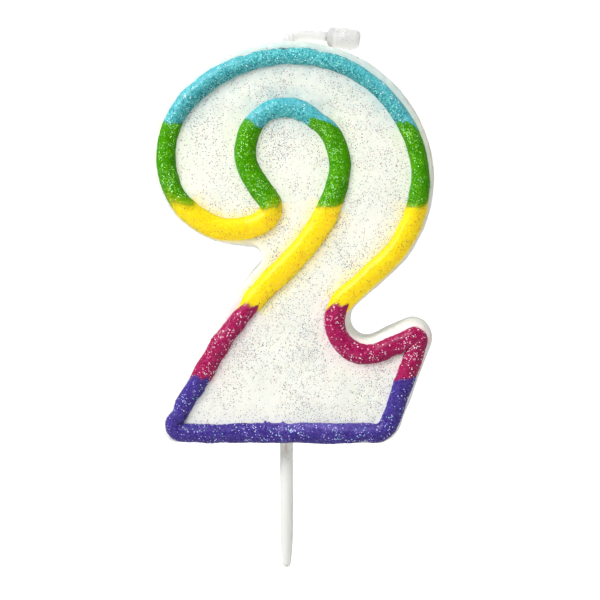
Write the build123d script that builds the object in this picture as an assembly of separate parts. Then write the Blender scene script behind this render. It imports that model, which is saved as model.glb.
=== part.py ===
from build123d import *
import math
import os

# Number candle: a flat moulded wax "2" outlined by a raised bead in five colours, with a bent wick
# on top and a plastic pick below. Millimetres, +X to the reader's right, +Z up, front facing -Y.
# The origin is on the pick's axis, where the pick leaves the levelled base of the wax.

# Wax numeral
WAX_THICKNESS = 10.0
FRONT_Y = -WAX_THICKNESS / 2
BACK_Y = WAX_THICKNESS / 2
FRONT_MARGIN = 2.3
BACK_MARGIN = 2.95
FRONT_ROUND = 0.9
BACK_ROUND = 0.3

# The bead's centreline: tangent lines and arcs, anticlockwise seen from the front. Angles are
# headings in degrees from +X, and a clockwise arc has a negative radius. A line with no length
# is as long as it takes to close its loop.
BASE_LEFT = (-19.3, 2.1)
BASE_RUN = ("line", None)
RIGHT_SIDE = [("arc", 3.3, 70), ("line", 15.5)]
FLAG_TIP = ("arc", 0.9, 206)
CROOK = [("line", 6.1), ("arc", -6.0, 42), ("line", 9.0)]
BOWL = [("arc", 21.0, 116), ("arc", 24.0, 182), ("arc", 26.0, 230)]
LOBE = [("arc", 14.0, 337)]
LOBE_TIP = [("arc", 9.9, 399), ("arc", 2.4, 485), ("line", 4.8)]
COUNTER = [("arc", -8.8, 414), ("arc", -7.2, 344), ("arc", -10.9, 262), ("arc", -19.5, 243)]
WAIST = [("arc", -43.0, 225), ("line", 4.6)]
DIAGONAL = [("arc", 64.0, 240)]
LEFT_RUN = ("line", None)
LEFT_CORNER = ("arc", 1.3, 360)

# Where the wax leaves the lobe and is notched, before it joins the diagonal
SHELF = [("arc", 9.9, 352), ("line", None)]
NOTCH = [("arc", -4.7, 228)]

# Bead: a half-round crown above the face, on a root set in a groove of the wax
BEAD_HEIGHT = 1.3
BEAD_ROOT = 0.8

# Colour bands from the base up: height of the band's top, bead width, and its pieces along +X
BANDS = [
    (12.1, 3.2, ["purple_base_bead"]),
    (25.7, 3.2, ["magenta_left_bead", "magenta_flag_bead"]),
    (43.9, 3.9, ["yellow_lobe_bead", "yellow_inner_bead", "yellow_outer_bead"]),
    (
        58.8,
        3.6,
        [
            "green_outer_left_bead",
            "green_inner_left_bead",
            "green_inner_right_bead",
            "green_outer_right_bead",
        ],
    ),
    (80.0, 3.2, ["turquoise_inner_bead", "turquoise_outer_bead"]),
]

BAND_REACH = 100.0
SLAB_ALIGN = (Align.CENTER, Align.CENTER, Align.MIN)

# Wick: a cotton braid in a thin coat of wax, bent over to the right, with a thick dipped end
WICK_X = 0.6
BRAID_RADIUS = 0.75
COAT_RADIUS = 1.05
BRAID_FOOT_Z = 20.0
BEND_START_Z = 73.9
BEND = [("arc", -1.4, 18)]
DROOP = [("arc", -8.0, -6), ("line", 2.7)]
BRAID_IN_DIP = [("line", 4.2)]
DIP = [("line", 6.1)]
DIP_RADIUS = 1.75
DIP_ROUND = 1.1

# Pick: a round shaft with a blunt taper, and a barbed anchor cast into the wax
PICK_RADIUS = 1.25
PICK_STRAIGHT = 15.5
TAPER_RADIUS = 70.0
PICK_END_RADIUS = 0.8
ANCHOR_RADIUS = 1.0
ANCHOR_LENGTH = 15.0
NECK_RADIUS = 1.5
BARB_RADIUS = 1.6
BARB_LENGTH = 2.4
BARB_COUNT = 4
BARB_PITCH = 3.4
BARB_GAP = 1.0


def along(heading):
    """The unit vector of travel at a heading in degrees."""
    angle = math.radians(heading)
    return Vector(math.cos(angle), math.sin(angle))


def right_of(heading):
    """The unit vector to the right of travel at a heading in degrees."""
    return along(heading - 90)


def closed(chain):
    """The chain with its two open lines at the lengths that bring its end back to its start."""
    heading = 0
    gap = Vector(0, 0)
    open_lines = []
    for index, step in enumerate(chain):
        if step[0] == "arc":
            gap += (right_of(step[2]) - right_of(heading)) * step[1]
            heading = step[2]
        elif step[1] is None:
            open_lines.append((index, along(heading)))
        else:
            gap += along(heading) * step[1]
    (first, u), (second, v) = open_lines
    cross = u.X * v.Y - u.Y * v.X
    whole = list(chain)
    whole[first] = ("line", (v.X * gap.Y - v.Y * gap.X) / cross)
    whole[second] = ("line", (u.Y * gap.X - u.X * gap.Y) / cross)
    return whole


def walk(chain, start, heading, margin=0):
    """The wire that runs a margin to the right of a chain, its end point and its end heading."""
    here = Vector(start) + right_of(heading) * margin
    edges = []
    for step in chain:
        if step[0] == "line":
            there = here + along(heading) * step[1]
            edges.append(Line(here, there))
        else:
            radius = step[1] + margin
            centre = here - right_of(heading) * radius
            there = centre + right_of(step[2]) * radius
            middle = centre + right_of((heading + step[2]) / 2) * radius
            edges.append(ThreePointArc(here, middle, there))
            heading = step[2]
        here = there
    return Wire(edges), here, heading


def cross_plane(start, heading, y=0):
    """The plane across the travel at a point, with X to the left of travel and Y to the front."""
    left, ahead = right_of(heading) * -1, along(heading)
    return Plane(origin=(start.X, y, start.Y), x_dir=(left.X, 0, left.Y), z_dir=(ahead.X, 0, ahead.Y))


def bead_chain():
    """The bead's own loop, round the stroke of the numeral."""
    stroke = [BASE_RUN] + RIGHT_SIDE + [FLAG_TIP] + CROOK + BOWL + LOBE
    inner = LOBE_TIP + COUNTER + WAIST + DIAGONAL + [LEFT_RUN, LEFT_CORNER]
    return closed(stroke + inner)


def wax_chain():
    """The wax's loop, which fills the counter and is notched at the lower left."""
    stroke = [bead_chain()[0]] + RIGHT_SIDE + [FLAG_TIP] + CROOK + BOWL + LOBE
    return closed(stroke + SHELF + NOTCH + DIAGONAL + [LEFT_RUN, LEFT_CORNER])


def wax_outline(margin, y):
    """The wax's outline at depth y, a margin outside its loop."""
    wire, _, _ = walk(wax_chain(), BASE_LEFT, 0, margin)
    return make_face(Plane.XZ.offset(-y) * wire)


def rim(blank, face):
    """The edges round the blank's front face, which is its face 0, or its back face, -1."""
    return blank.faces().filter_by(Plane.XZ).sort_by(Axis.Y)[face].edges()


def wax_blank():
    """The drafted numeral before grooves and bores, with rounded rims and a level base."""
    blank = loft([wax_outline(BACK_MARGIN, BACK_Y), wax_outline(FRONT_MARGIN, FRONT_Y)], ruled=True)
    blank = fillet(rim(blank, 0), FRONT_ROUND)
    blank = fillet(rim(blank, -1), BACK_ROUND)
    return split(blank, bisect_by=Plane.XY, keep=Keep.TOP)


def bead_profile(width):
    """The bead's section: across it, and outwards from the face of the wax."""
    half = width / 2
    crown = ThreePointArc((-half, 0), (0, BEAD_HEIGHT), (half, 0))
    root = Polyline((half, 0), (half, -BEAD_ROOT), (-half, -BEAD_ROOT), (-half, 0))
    return make_face(Wire([crown, *root.edges()]))


def bead_run(chain, start, heading, width):
    """A stretch of bead with no corner tighter than the bead is wide."""
    wire, end, end_heading = walk(chain, start, heading)
    section = cross_plane(start, heading, FRONT_Y) * bead_profile(width)
    return sweep(section, path=Plane.XZ.offset(-FRONT_Y) * wire), end, end_heading


def bead_corner(corner, start, heading, width):
    """The outside of a corner that is tighter than the bead is wide, turned about its centre."""
    _, radius, end_heading = corner
    _, end, _ = walk([corner], start, heading)
    outer_half = Rectangle(width * 2, width * 2, align=(Align.MAX, Align.CENTER))
    outside = bead_profile(width) & (Pos(radius, 0) * outer_half)
    centre = start - right_of(heading) * radius
    axis = Axis((centre.X, FRONT_Y, centre.Y), (0, -1, 0))
    section = cross_plane(start, heading, FRONT_Y) * outside
    return revolve(section, axis=axis, revolution_arc=end_heading - heading), end, end_heading


def bead_ring(width):
    """The whole bead at one width: two runs, with a tight corner after each."""
    chain = bead_chain()
    flag = chain.index(FLAG_TIP)
    first, here, heading = bead_run(chain[:flag], Vector(BASE_LEFT), 0, width)
    tip, here, heading = bead_corner(FLAG_TIP, here, heading, width)
    second, here, heading = bead_run(chain[flag + 1 : -1], here, heading, width)
    corner, here, heading = bead_corner(LEFT_CORNER, here, heading, width)
    return first + tip + second + corner


def band_beads():
    """Each coloured piece of the bead, by name."""
    pieces = {}
    low = 0
    for top, width, names in BANDS:
        slab = Pos(0, 0, low) * Box(BAND_REACH, BAND_REACH, top - low, align=SLAB_ALIGN)
        solids = (bead_ring(width) & slab).solids()
        solids.sort(key=lambda solid: (round(solid.center().X), solid.center().Z))
        pieces.update(zip(names, solids))
        low = top
    return pieces


def wick_bar(radius, chain, start, heading):
    """A round bar along a chain in the X-Z plane, its end point and its end heading."""
    wire, end, end_heading = walk(chain, start, heading)
    return sweep(cross_plane(start, heading) * Circle(radius), path=Plane.XZ * wire), end, end_heading


def wick_pieces():
    """The pieces of the wick, by name."""
    foot = Vector(WICK_X, BRAID_FOOT_Z)
    straight = [("line", BEND_START_Z - BRAID_FOOT_Z)]
    embedded, here, heading = wick_bar(BRAID_RADIUS, straight, foot, 90)
    bend_braid, _, _ = wick_bar(BRAID_RADIUS, BEND, here, heading)
    bend_coat, here, heading = wick_bar(COAT_RADIUS, BEND, here, heading)
    tip_braid, _, _ = wick_bar(BRAID_RADIUS, DROOP + BRAID_IN_DIP, here, heading)
    tip_coat, here, heading = wick_bar(COAT_RADIUS, DROOP, here, heading)
    dip, _, _ = wick_bar(DIP_RADIUS, DIP, here, heading)
    dip = fillet(dip.faces().filter_by(GeomType.PLANE).edges(), DIP_ROUND)
    return {
        "wick_braid_in_wax": embedded,
        "wick_bend_braid": bend_braid,
        "wick_bend_coat": bend_coat - bend_braid,
        "wick_tip_braid": tip_braid,
        "wick_tip_coat": tip_coat - tip_braid,
        "wick_dipped_end": dip - tip_braid,
    }


def pick_shaft():
    """The round shaft below the wax, with its long taper and blunt end."""
    lean = math.degrees(math.acos((TAPER_RADIUS - PICK_RADIUS) / (TAPER_RADIUS - PICK_END_RADIUS)))
    taper_centre = Vector(PICK_RADIUS - TAPER_RADIUS, -PICK_STRAIGHT)
    end_centre = taper_centre + along(-lean) * (TAPER_RADIUS - PICK_END_RADIUS)
    shoulder = Vector(PICK_RADIUS, -PICK_STRAIGHT)
    taper_end = end_centre + along(-lean) * PICK_END_RADIUS
    tip = end_centre + along(-90) * PICK_END_RADIUS
    outer = [
        Line((0, 0), (PICK_RADIUS, 0)),
        Line((PICK_RADIUS, 0), shoulder),
        ThreePointArc(shoulder, taper_centre + along(-lean / 2) * TAPER_RADIUS, taper_end),
        ThreePointArc(taper_end, end_centre + along(-45 - lean / 2) * PICK_END_RADIUS, tip),
        Line(tip, (0, 0)),
    ]
    return revolve(Plane.XZ * make_face(Wire(outer)), axis=Axis.Z)


def cake_pick():
    """The pick, with its shaft below the wax and its neck and barbed anchor above."""
    pick = pick_shaft() + Pos(0, 0, ANCHOR_LENGTH / 2) * Cylinder(ANCHOR_RADIUS, ANCHOR_LENGTH)
    pick += Pos(0, 0, BARB_GAP / 2) * Cylinder(NECK_RADIUS, BARB_GAP)
    for index in range(BARB_COUNT):
        barb = Cone(BARB_RADIUS, ANCHOR_RADIUS, BARB_LENGTH)
        pick += Pos(0, 0, BARB_GAP + index * BARB_PITCH + BARB_LENGTH / 2) * barb
    return pick


def write_parts():
    """Cuts every piece's seat out of the wax, and writes each piece to its own file."""
    parts = {**band_beads(), **wick_pieces(), "cake_pick": cake_pick()}
    wax = wax_blank()
    for part in parts.values():
        wax -= part
    parts["wax_numeral"] = wax
    os.makedirs("parts", exist_ok=True)
    for name, part in parts.items():
        export_step(part, f"parts/{name}.step")


write_parts()
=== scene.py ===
import math

import bmesh
import bpy
import numpy as np
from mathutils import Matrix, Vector
from mathutils.kdtree import KDTree


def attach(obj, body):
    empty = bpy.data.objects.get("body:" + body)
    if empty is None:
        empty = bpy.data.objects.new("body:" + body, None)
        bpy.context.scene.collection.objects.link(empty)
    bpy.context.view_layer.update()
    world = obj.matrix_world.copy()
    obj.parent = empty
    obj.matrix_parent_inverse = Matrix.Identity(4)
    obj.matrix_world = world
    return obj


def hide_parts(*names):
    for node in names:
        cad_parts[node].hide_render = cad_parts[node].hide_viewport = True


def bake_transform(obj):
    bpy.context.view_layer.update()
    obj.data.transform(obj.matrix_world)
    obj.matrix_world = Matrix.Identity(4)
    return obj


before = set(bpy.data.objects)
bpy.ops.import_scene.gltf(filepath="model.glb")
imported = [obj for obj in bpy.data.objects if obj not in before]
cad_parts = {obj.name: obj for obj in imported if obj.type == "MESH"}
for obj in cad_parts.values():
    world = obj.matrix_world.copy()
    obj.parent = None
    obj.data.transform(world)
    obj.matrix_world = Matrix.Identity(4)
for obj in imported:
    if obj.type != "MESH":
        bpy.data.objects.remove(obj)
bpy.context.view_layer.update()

# Lengths are in millimetres and headings in degrees until a mesh is made. The numeral lies in
# the X-Z plane with its front at -Y, so plan points are (x, z).
MM = 0.001
FRONT_Y = -5.0
BACK_Y = 5.0
FRONT_MARGIN = 2.3
BACK_MARGIN = 2.95
FRONT_ROUND = 0.9
BACK_ROUND = 0.3

# The bead's centreline, as in the CAD source
BASE_LEFT = (-19.3, 2.1)
BASE_RUN = ("line", None)
RIGHT_SIDE = [("arc", 3.3, 70), ("line", 15.5)]
FLAG_TIP = ("arc", 0.9, 206)
CROOK = [("line", 6.1), ("arc", -6.0, 42), ("line", 9.0)]
BOWL = [("arc", 21.0, 116), ("arc", 24.0, 182), ("arc", 26.0, 230)]
LOBE = [("arc", 14.0, 337)]
LOBE_TIP = [("arc", 9.9, 399), ("arc", 2.4, 485), ("line", 4.8)]
COUNTER = [("arc", -8.8, 414), ("arc", -7.2, 344), ("arc", -10.9, 262), ("arc", -19.5, 243)]
WAIST = [("arc", -43.0, 225), ("line", 4.6)]
DIAGONAL = [("arc", 64.0, 240)]
LEFT_RUN = ("line", None)
LEFT_CORNER = ("arc", 1.3, 360)
SHELF = [("arc", 9.9, 352), ("line", None)]
NOTCH = [("arc", -4.7, 228)]

# How high the white wax creeps up at the beads, how far from them, and its mesh size
CREEP = 0.14
CREEP_REACH = 0.35
VOXEL = 0.31

# The bead's crown and root, its rings, and how far its joints, mitres and corner web reach
BEAD_HEIGHT = 1.3
BEAD_ROOT = 0.7
ROOT_TAPER = 0.05
CROWN_COLUMNS = 19
CROWN_SPREAD = math.radians(78)
RING_STEP = 0.2
END_REACH = 4.5
MITRE_REACH = 6.0
CORNER_WEB = 0.3
WEB_WIDTH = 0.95

# Wick and pick, as in the CAD source
WICK_FOOT = (0.6, 73.2)
BEND_START_Z = 73.9
BEND = [("arc", -1.4, 18)]
DROOP = [("arc", -8.0, -6), ("line", 2.7)]
DIP = [("line", 6.1)]
COAT_RADIUS = 1.05
DIP_RADIUS = 1.75
DIP_ROUND = 1.1
PICK_RADIUS = 1.25
PICK_STRAIGHT = 15.5
TAPER_RADIUS = 70.0
PICK_END_RADIUS = 0.8
ANCHOR_RADIUS = 1.0
ANCHOR_LENGTH = 15.0
NECK_RADIUS = 1.5
BARB_RADIUS = 1.6
BARB_LENGTH = 2.4
BARB_COUNT = 4
BARB_PITCH = 3.4
BARB_GAP = 1.0

# The looks of the wick and the pick, which the CAD source doesn't have
STEM_RADIUS = 0.86
WICK_SAG = 0.26
DIP_GROWTH = 0.12
FOOT_FLARE = 0.5
WICK_COLUMNS = 36
PICK_COLUMNS = 72
PICK_SEAM = math.radians(-48)
# Painted glow in the clear wick wax stands in for light that enters on this side and comes out
# mostly on the other; the glow is weakest on this side
WICK_LIT_SIDE = (-0.50, -0.55, 0.67)

# Dyes, linear RGB
WHITE = (0.89, 0.89, 0.81)
CLOUDY_WHITE = (0.83, 0.845, 0.77)
WICK_WHITE = (0.56, 0.56, 0.552)
# What the turquoise's smooth side adds to its dye as a painted highlight, the dark smudge on it,
# and the painted highlight along the upper half of the purple base
PAINTED_FLANK_HIGHLIGHT = (0.04, 0.045, 0.09)
SMUDGE = (0.06, 0.075, 0.11)
PURPLE_TOP_HIGHLIGHT = (0.17, 0.125, 0.46)
# Painted glow on the yellow beads down the side away from the lamp, standing in for light that
# comes through them
PAINTED_LEE_GLOW = (0.24, 0.145, 0.01)
DYES = {
    "turquoise": (0.062, 0.44, 0.47),
    "green": (0.060, 0.30, 0.001),
    "yellow": (0.95, 0.75, 0.008),
    "magenta": (0.38, 0.004, 0.085),
    "purple": (0.055, 0.030, 0.26),
}
WIDTHS = {"turquoise": 3.2, "green": 3.6, "yellow": 3.9, "magenta": 3.25, "purple": 3.2}
# How much further than that each band spread: at each share of its length, to the right and to
# the left of travel
SPREAD = {
    "purple_base_bead": [
        (0.03, 0.10, 0.50), (0.066, 0.12, 0.15), (0.10, 0.16, 0.20), (0.13, -0.22, 0.05),
        (0.22, 0.42, -0.12), (0.30, 0.48, -0.12), (0.42, 0.42, 0.12), (0.73, 0.42, 0.10),
        (0.775, 0.05, 0.10), (0.81, 0.28, 0.08), (0.87, 0.45, 0.05), (0.93, 0.25, 0.15),
        (0.97, 0.20, 0.15),
    ],
    "magenta_flag_bead": [
        (0.12, 0.30, 0.20), (0.35, -0.12, 0.42), (0.55, 0.10, 0.45), (0.9, 0.30, 0.25),
    ],
    "yellow_outer_bead": [(0.2, 0.15, -0.12), (0.8, 0.0, 0.0)],
    "green_outer_right_bead": [(0.2, -0.1, 0.0), (0.7, -0.32, -0.08)],
    "turquoise_outer_bead": [
        (0.05, -0.42, 0.25), (0.65, -0.50, 0.40), (0.80, -0.05, 0.40), (0.92, 0.0, 0.42),
    ],
    "green_outer_left_bead": [(0.1, -0.32, 0.40), (0.5, -0.25, 0.30), (0.85, 0.1, 0.0)],
    "yellow_lobe_bead": [
        (0.4, 0.20, 0.12), (0.62, 0.25, 0.12), (0.78, 0.50, 0.0), (0.9, 0.30, 0.1),
    ],
    "green_inner_left_bead": [(0.2, 0.10, 0.28), (0.5, 0.15, 0.30), (0.8, 0.45, 0.0)],
    "turquoise_inner_bead": [(0.1, 0.48, -0.10), (0.6, 0.48, -0.12), (0.9, 0.62, -0.40)],
    "green_inner_right_bead": [(0.1, 0.42, -0.12), (0.5, 0.20, 0.28), (0.9, 0.20, 0.35)],
    "yellow_inner_bead": [(0.15, 0.0, 0.55), (0.7, 0.1, 0.42)],
    "magenta_left_bead": [
        (0.15, -0.35, 0.36), (0.4, -0.20, 0.36), (0.56, 0.15, 0.40), (0.7, 0.05, 0.36),
        (0.85, 0.10, 0.38),
    ],
}
# Small snags on the base's upper edge: how far along the loop, how tall and how wide
SNAGS = [(15.6, 0.50, 0.22), (16.3, 0.28, 0.20), (18.9, 0.34, 0.26), (20.2, -0.20, 0.6)]
# How far each dye's outer edge wanders and frays, then its inner edge, and its crown's grain
EDGES = {
    "turquoise": (0.06, 0.10, 0.04, 0.04, 0.020),
    "green": (0.04, 0.01, 0.04, 0.01, 0.008),
    "yellow": (0.04, 0.01, 0.04, 0.01, 0.006),
    "magenta": (0.03, 0.03, 0.06, 0.03, 0.014),
    "purple": (0.05, 0.02, 0.09, 0.03, 0.012),
}

# The bead's bands in the order of its loop, from the base rightwards: CAD node and dye
BANDS = [
    ("purple_base_bead", "purple"),
    ("magenta_flag_bead", "magenta"),
    ("yellow_outer_bead", "yellow"),
    ("green_outer_right_bead", "green"),
    ("turquoise_outer_bead", "turquoise"),
    ("green_outer_left_bead", "green"),
    ("yellow_lobe_bead", "yellow"),
    ("green_inner_left_bead", "green"),
    ("turquoise_inner_bead", "turquoise"),
    ("green_inner_right_bead", "green"),
    ("yellow_inner_bead", "yellow"),
    ("magenta_left_bead", "magenta"),
]
TURQUOISE_OUTER, TURQUOISE_INNER = 4, 8
# The joint after each band: its height, and how far it rises above that across the bead, from
# the left of travel to the right, where the dyes ran into each other in the mould
JOINTS = [
    (12.1, (-0.5, -0.1, 0.1, 0.0, 0.3, 0.6)),
    (25.7, (-1.3, 0.1, 0.3, -0.35, 0.25, -1.8)),
    (43.9, (-0.3, -0.4, -0.4, -0.45, -0.4, 0.6)),
    (58.8, (-0.2, 0.4, -0.2, 0.4, -0.4, -1.8)),
    (58.8, (0.1, -0.1, 0.0, -0.15, 0.15, 0.45)),
    (43.9, (0.7, -0.1, 0.1, 0.5, 1.0, -0.4)),
    (43.9, (-0.2, -1.0, -0.5, -0.3, -0.4, 0.9)),
    (58.8, (0.9, 0.6, 0.2, -0.4, -0.8, -0.9)),
    (58.8, (-1.2, 0.0, 0.6, 1.0, 0.2, -0.5)),
    (43.9, (0.4, -0.3, -0.45, -0.3, -0.35, -0.4)),
    (25.7, (-1.5, 0.0, -0.5, 0.25, 0.1, -1.1)),
    (12.1, (-0.8, 0.3, -0.3, 0.3, 0.7, -0.1)),
]
JOINT_COLUMNS = (-1.0, -0.6, -0.2, 0.2, 0.6, 1.0)
# How far the two dyes blur into each other at each joint
JOINT_BLUR = (0.16, 0.14, 0.32, 0.20, 0.22, 0.85, 0.60, 0.18, 0.18, 0.34, 0.14, 0.14)


def unit(heading):
    """The unit vector of travel at a heading, or at each of several."""
    angle = np.radians(heading)
    return np.stack([np.cos(angle), np.sin(angle)], axis=-1)


def right_of(heading):
    return unit(np.asarray(heading, float) - 90)


def closed(chain):
    """The chain with its two open lines at the lengths that bring its end back to its start."""
    heading, gap, opened = 0.0, np.zeros(2), []
    for index, step in enumerate(chain):
        if step[0] == "arc":
            gap = gap + (right_of(step[2]) - right_of(heading)) * step[1]
            heading = step[2]
        elif step[1] is None:
            opened.append((index, unit(heading)))
        else:
            gap = gap + unit(heading) * step[1]
    (first, u), (second, v) = opened
    lengths = np.linalg.solve(np.column_stack([u, v]), -gap)
    whole = list(chain)
    whole[first], whole[second] = ("line", lengths[0]), ("line", lengths[1])
    return whole


def trace(chain, start, heading=0.0, margin=0.0, spacing=0.25, reach=2.6):
    """Points and headings along a chain, a margin to its right, and its tight corners."""
    here = np.array(start, float) + right_of(heading) * margin
    points, headings, corners, run = [], [], [], 0.0
    for step in chain:
        if step[0] == "line":
            count = max(1, math.ceil(step[1] / spacing))
            share = np.arange(count) / count
            points.append(here + np.outer(share * step[1], unit(heading)))
            headings.append(np.full(count, float(heading)))
            here = here + unit(heading) * step[1]
            run += step[1]
            continue
        turn = math.radians(step[2] - heading)
        radius = step[1] + margin
        count = max(2, math.ceil(abs(turn) * (abs(step[1]) + reach) / spacing))
        angles = heading + (step[2] - heading) * np.arange(count) / count
        centre = here - right_of(heading) * radius
        points.append(centre + right_of(angles) * radius)
        headings.append(angles)
        if 0 < step[1] < 1.5:
            corners.append((run + abs(turn * radius) / 2, centre, radius, (heading, step[2])))
        here = centre + right_of(step[2]) * radius
        heading = step[2]
        run += abs(turn * radius)
    points.append(here[None])
    headings.append(np.array([float(heading)]))
    return np.vstack(points), np.concatenate(headings), corners


def field(points, scale, seed, waves=26):
    """A smooth random field of about unit size at each 3-D point, with that feature size."""
    draw = np.random.default_rng(seed)
    k = draw.normal(size=(waves, 3))
    length = np.linalg.norm(k, axis=1, keepdims=True)
    k *= (2 * math.pi / scale) * draw.uniform(0.5, 1.3, (waves, 1)) / length
    phase = draw.uniform(0, 2 * math.pi, waves)
    return np.cos(points @ k.T + phase).sum(axis=1) * math.sqrt(2 / waves)


def bell(x):
    """1 at 0, falling to 0 on both sides."""
    return np.exp(-(x**2))


def lifted(plan, y=0.0):
    """Plan points as 3-D points at depth y."""
    plan = np.asarray(plan, float)
    return np.column_stack([plan[:, 0], np.broadcast_to(y, len(plan)), plan[:, 1]])


# ---- the bead's centreline

stroke = [BASE_RUN] + RIGHT_SIDE + [FLAG_TIP] + CROOK + BOWL + LOBE
bead_loop = closed(stroke + LOBE_TIP + COUNTER + WAIST + DIAGONAL + [LEFT_RUN, LEFT_CORNER])
wax_stroke = [bead_loop[0]] + RIGHT_SIDE + [FLAG_TIP] + CROOK + BOWL + LOBE
wax_loop = closed(wax_stroke + SHELF + NOTCH + DIAGONAL + [LEFT_RUN, LEFT_CORNER])

line_points, line_headings, tight_corners = trace(bead_loop, BASE_LEFT, spacing=0.05)
line_run = np.concatenate([[0.0], np.cumsum(np.linalg.norm(np.diff(line_points, axis=0), axis=1))])
TOTAL = line_run[-1]


def round_the_loop(gap):
    """A distance along the loop, taken the shorter way round."""
    return (gap + TOTAL / 2) % TOTAL - TOTAL / 2


def centre_at(run):
    """The centreline's point and heading at each distance along it."""
    run = np.asarray(run) % TOTAL
    x = np.interp(run, line_run, line_points[:, 0])
    z = np.interp(run, line_run, line_points[:, 1])
    return np.stack([x, z], axis=-1), np.interp(run, line_run, line_headings)


def find_joints():
    """Where the centreline crosses each joint's height, in the order of the loop."""
    crossings = []
    for height in sorted({joint[0] for joint in JOINTS}):
        side = line_points[:, 1] > height
        crossings += [line_run[i] for i in np.nonzero(side[1:] != side[:-1])[0]]
    return sorted(crossings)


joint_runs = find_joints()


def band_of(run):
    """The index of the band at each distance along the loop."""
    return np.searchsorted(joint_runs, np.asarray(run) % TOTAL) % len(BANDS)


def smooth_by_band(values, run, blur=0.8):
    """A value for each band, blurred along the loop where two bands meet."""
    steps = np.arange(-12, 13) * blur / 4
    weights = np.exp(-0.5 * (steps / blur) ** 2)
    values = np.asarray(values, float)
    total = sum(w * values[band_of(run + step)] for w, step in zip(weights, steps))
    return total / weights.sum()


band_dyes = [dye for _, dye in BANDS]
band_half = [WIDTHS[dye] / 2 for dye in band_dyes]


def spread_knots():
    """Where along the loop each spread is given, and what it is to the right and to the left."""
    knots = []
    for index, (node, _) in enumerate(BANDS):
        first, last = joint_runs[index - 1], joint_runs[index]
        if index == 0:
            first -= TOTAL
        for share, right, left in SPREAD[node]:
            knots.append(((first + share * (last - first)) % TOTAL, right, left))
    return np.array(sorted(knots))


spread_table = spread_knots()
band_edges = np.array([EDGES[dye] for dye in band_dyes])


def bead_extent(run):
    """How far the bead's middle lies to the right of its centreline, and half its width."""
    at = np.asarray(run) % TOTAL
    at_knots, *spreads = spread_table.T
    right, left = (np.interp(at, at_knots, spread, period=TOTAL) for spread in spreads)
    return (right - left) / 2, smooth_by_band(band_half, run) + (right + left) / 2


def column_points(run, u, alpha):
    """Plan points and heights above the wax face for a crown column at each run."""
    centre, heading = centre_at(run)
    side = right_of(heading)
    shift, half = bead_extent(run)
    where = lifted(centre, 20.0 * np.sign(u))
    outer = u > 0
    wander, fray = (smooth_by_band(band_edges[:, i], run) for i in ((0, 1) if outer else (2, 3)))
    fray = fray * raggedness(centre, run)
    frayed = 0.6 * field(where, 1.0, 12) + 0.5 * field(where, 0.5, 13)
    edge = wander * field(where, 4.2, 11) + fray * frayed
    if not outer:
        edge = edge + sum(snag * bell(round_the_loop(run - at) / wide) for at, snag, wide in SNAGS)
    half = half * (1 + 0.02 * field(where, 9.0, 14)) + edge
    plan = centre + side * (shift + u * half)[..., None]
    crown = BEAD_HEIGHT * (1 + 0.035 * field(lifted(centre), 7.0, 15))
    height = crown * crown_share(u)
    grain = smooth_by_band(band_edges[:, 4], run)
    surface = lifted(plan, height)
    lump = 0.022 * field(surface, 2.6, 16) + grain * field(surface, 0.55, 17)
    lump *= math.cos(alpha) ** 0.5
    plan = plan + side * (lump * math.sin(alpha))[..., None]
    plan = mitred(plan, run, heading)
    height = height + corner_fill(plan, run, shift, half) * crown
    plan = plan + corner_web(plan, run)
    return plan, height + lump * math.cos(alpha)


def raggedness(centre, run):
    """How much of its fraying the bead's edge shows: less down the outer turquoise's flanks."""
    outer_top = band_of(run) == TURQUOISE_OUTER
    return np.where(outer_top, np.clip((centre[..., 1] - 69.0) / 1.4, 0.25, 1), 1.0)


def crown_share(u):
    """The bead's height as a share of its crown's, at u across it from -1 to 1."""
    level = np.sqrt(1 - (np.clip(u, -1, 1) * math.sin(CROWN_SPREAD)) ** 2)
    return (level - math.cos(CROWN_SPREAD)) / (1 - math.cos(CROWN_SPREAD))


def corner_fill(plan, run, shift, half):
    """How much the wax ran together inside the flag's corner, as a share of the crown's height."""
    middle, centre, radius, turns = tight_corners[0]
    across = [(plan - centre) @ right_of(turn) - radius - shift for turn in turns]
    shares = [crown_share(gap / half) for gap in across]
    higher = np.maximum(*shares)
    fill = (np.hypot(*shares) - higher) * np.sqrt(np.clip(1 - higher, 0, 1))
    return np.where(np.abs(round_the_loop(run - middle)) < MITRE_REACH, fill, 0.0)


def corner_web(plan, run):
    """How far the wax ran on into the inside of the flag's corner, as a shift of plan points."""
    middle, centre, radius, turns = tight_corners[0]
    outwards = right_of(sum(turns) / 2)
    half_turn = math.radians(abs(turns[1] - turns[0]) / 2)
    reach = WIDTHS["magenta"] / 2 + SPREAD["magenta_flag_bead"][1][2]
    inner = centre + outwards * (radius - reach) / math.cos(half_turn)
    near = bell(np.linalg.norm(plan - inner, axis=-1) / WEB_WIDTH)
    shift = np.where(np.abs(round_the_loop(run - middle)) < MITRE_REACH, near, 0.0)
    return -outwards * (CORNER_WEB * shift)[..., None]


def mitred(plan, run, heading):
    """Plan points with the folded inside of each tight corner brought back to its bisector."""
    for middle, centre, _, turns in tight_corners:
        gap = round_the_loop(run - middle)
        turn = sum(turns) / 2
        across = (plan - centre) @ unit(turn)
        travel = unit(heading)
        slide = across / (travel @ unit(turn))
        wrong = (np.abs(gap) < MITRE_REACH) & (across * gap < 0)
        plan = np.where(wrong[..., None], plan - travel * slide[..., None], plan)
    return plan


crown_angles = np.linspace(-CROWN_SPREAD, CROWN_SPREAD, CROWN_COLUMNS)
crown_us = np.sin(crown_angles) / math.sin(CROWN_SPREAD)
ring_us = np.concatenate([crown_us, crown_us[[-1, 0]]])


def joint_line(index):
    """Where each crown column meets a joint, as runs near the centreline's own."""
    height, rises = JOINTS[index]
    window = joint_runs[index] + np.arange(-5, 5, 0.02)
    ends = []
    for u, alpha in zip(crown_us, crown_angles):
        plan, _ = column_points(window, u, alpha)
        wanted = height + np.interp(u, JOINT_COLUMNS, rises)
        ends.append(window[np.argmin(np.abs(plan[:, 1] - wanted))])
    return np.array(ends)


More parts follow.
